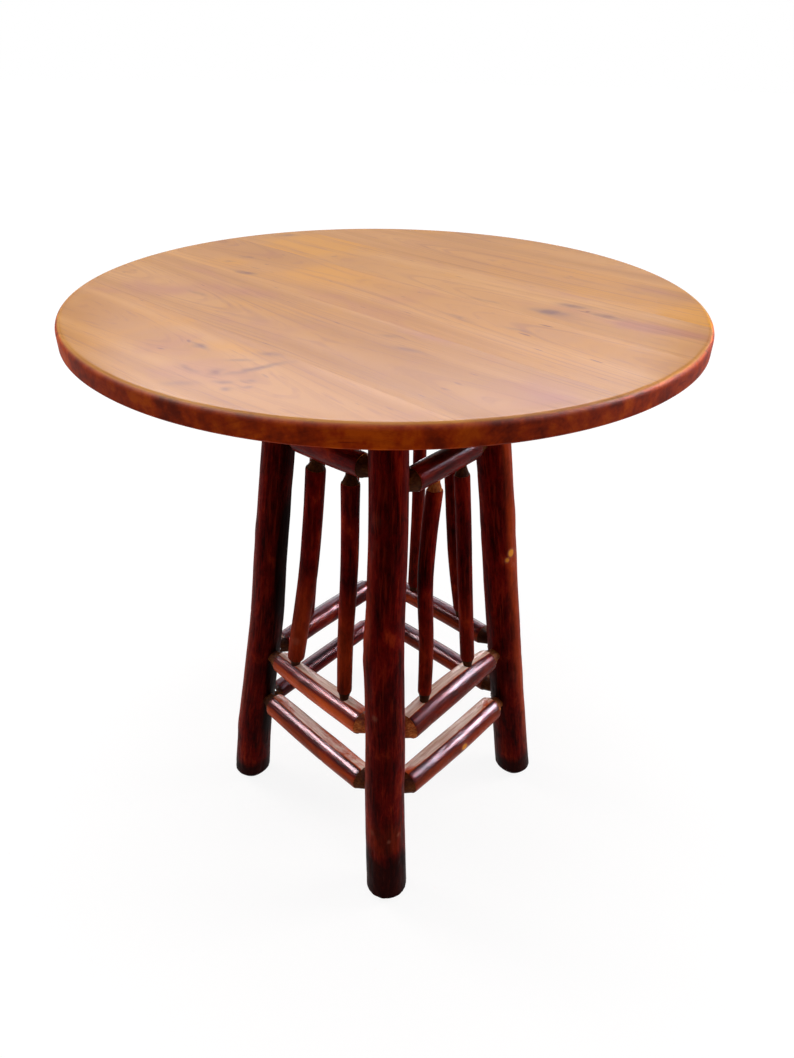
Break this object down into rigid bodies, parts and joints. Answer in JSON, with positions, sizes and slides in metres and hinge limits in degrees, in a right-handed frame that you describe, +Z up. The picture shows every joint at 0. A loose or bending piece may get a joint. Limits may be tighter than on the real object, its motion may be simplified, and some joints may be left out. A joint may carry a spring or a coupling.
{
  "type": "rustic hickory table",
  "caption": "Tall round plank table on four leaning bark-on hickory poles, with tenoned rails in three tiers and upright spindles.",
  "frame": {"origin": "on the floor, under the middle of the round top", "axes": "+Z up, +X to the right and -Y to the front, both square to the sides of the leg frame; the boards of the top run along X"},
  "size_m": [0.9144, 0.9143, 1.029],
  "materials": {
    "tabletop_wood": "honey-stained planks under a clear satin-gloss varnish",
    "hickory_pole": "bark left on, stained dark red-brown and varnished glossy",
    "batten_wood": "stained like the top, thinly varnished",
    "dowel_wood": "bare turned hardwood, inside the seams",
    "screw_steel": "zinc-plated wood screws",
    "brad_steel": "dull bright steel brads"
  },
  "bodies": {
    "root": {"batten_left": "batten_wood", "batten_right": "batten_wood", "batten_screws": "screw_steel", "board_dowels": "dowel_wood", "leg_back_left": "hickory_pole", "leg_back_right": "hickory_pole", "leg_front_left": "hickory_pole", "leg_front_right": "hickory_pole", "low_foot_rail_back": "hickory_pole", "low_foot_rail_front": "hickory_pole", "low_foot_rail_left": "hickory_pole", "low_foot_rail_right": "hickory_pole", "spindle_back_left": "hickory_pole", "spindle_back_right": "hickory_pole", "spindle_front_left": "hickory_pole", "spindle_front_right": "hickory_pole", "spindle_left_back": "hickory_pole", "spindle_left_front": "hickory_pole", "spindle_right_back": "hickory_pole", "spindle_right_front": "hickory_pole", "tenon_brads": "brad_steel", "top_board_1": "tabletop_wood", "top_board_2": "tabletop_wood", "top_board_3": "tabletop_wood", "top_board_4": "tabletop_wood", "top_board_5": "tabletop_wood", "top_board_6": "tabletop_wood", "top_rail_back": "hickory_pole", "top_rail_front": "hickory_pole", "top_rail_left": "hickory_pole", "top_rail_right": "hickory_pole", "upper_foot_rail_back": "hickory_pole", "upper_foot_rail_front": "hickory_pole", "upper_foot_rail_left": "hickory_pole", "upper_foot_rail_right": "hickory_pole"}
  },
  "joints": []
}
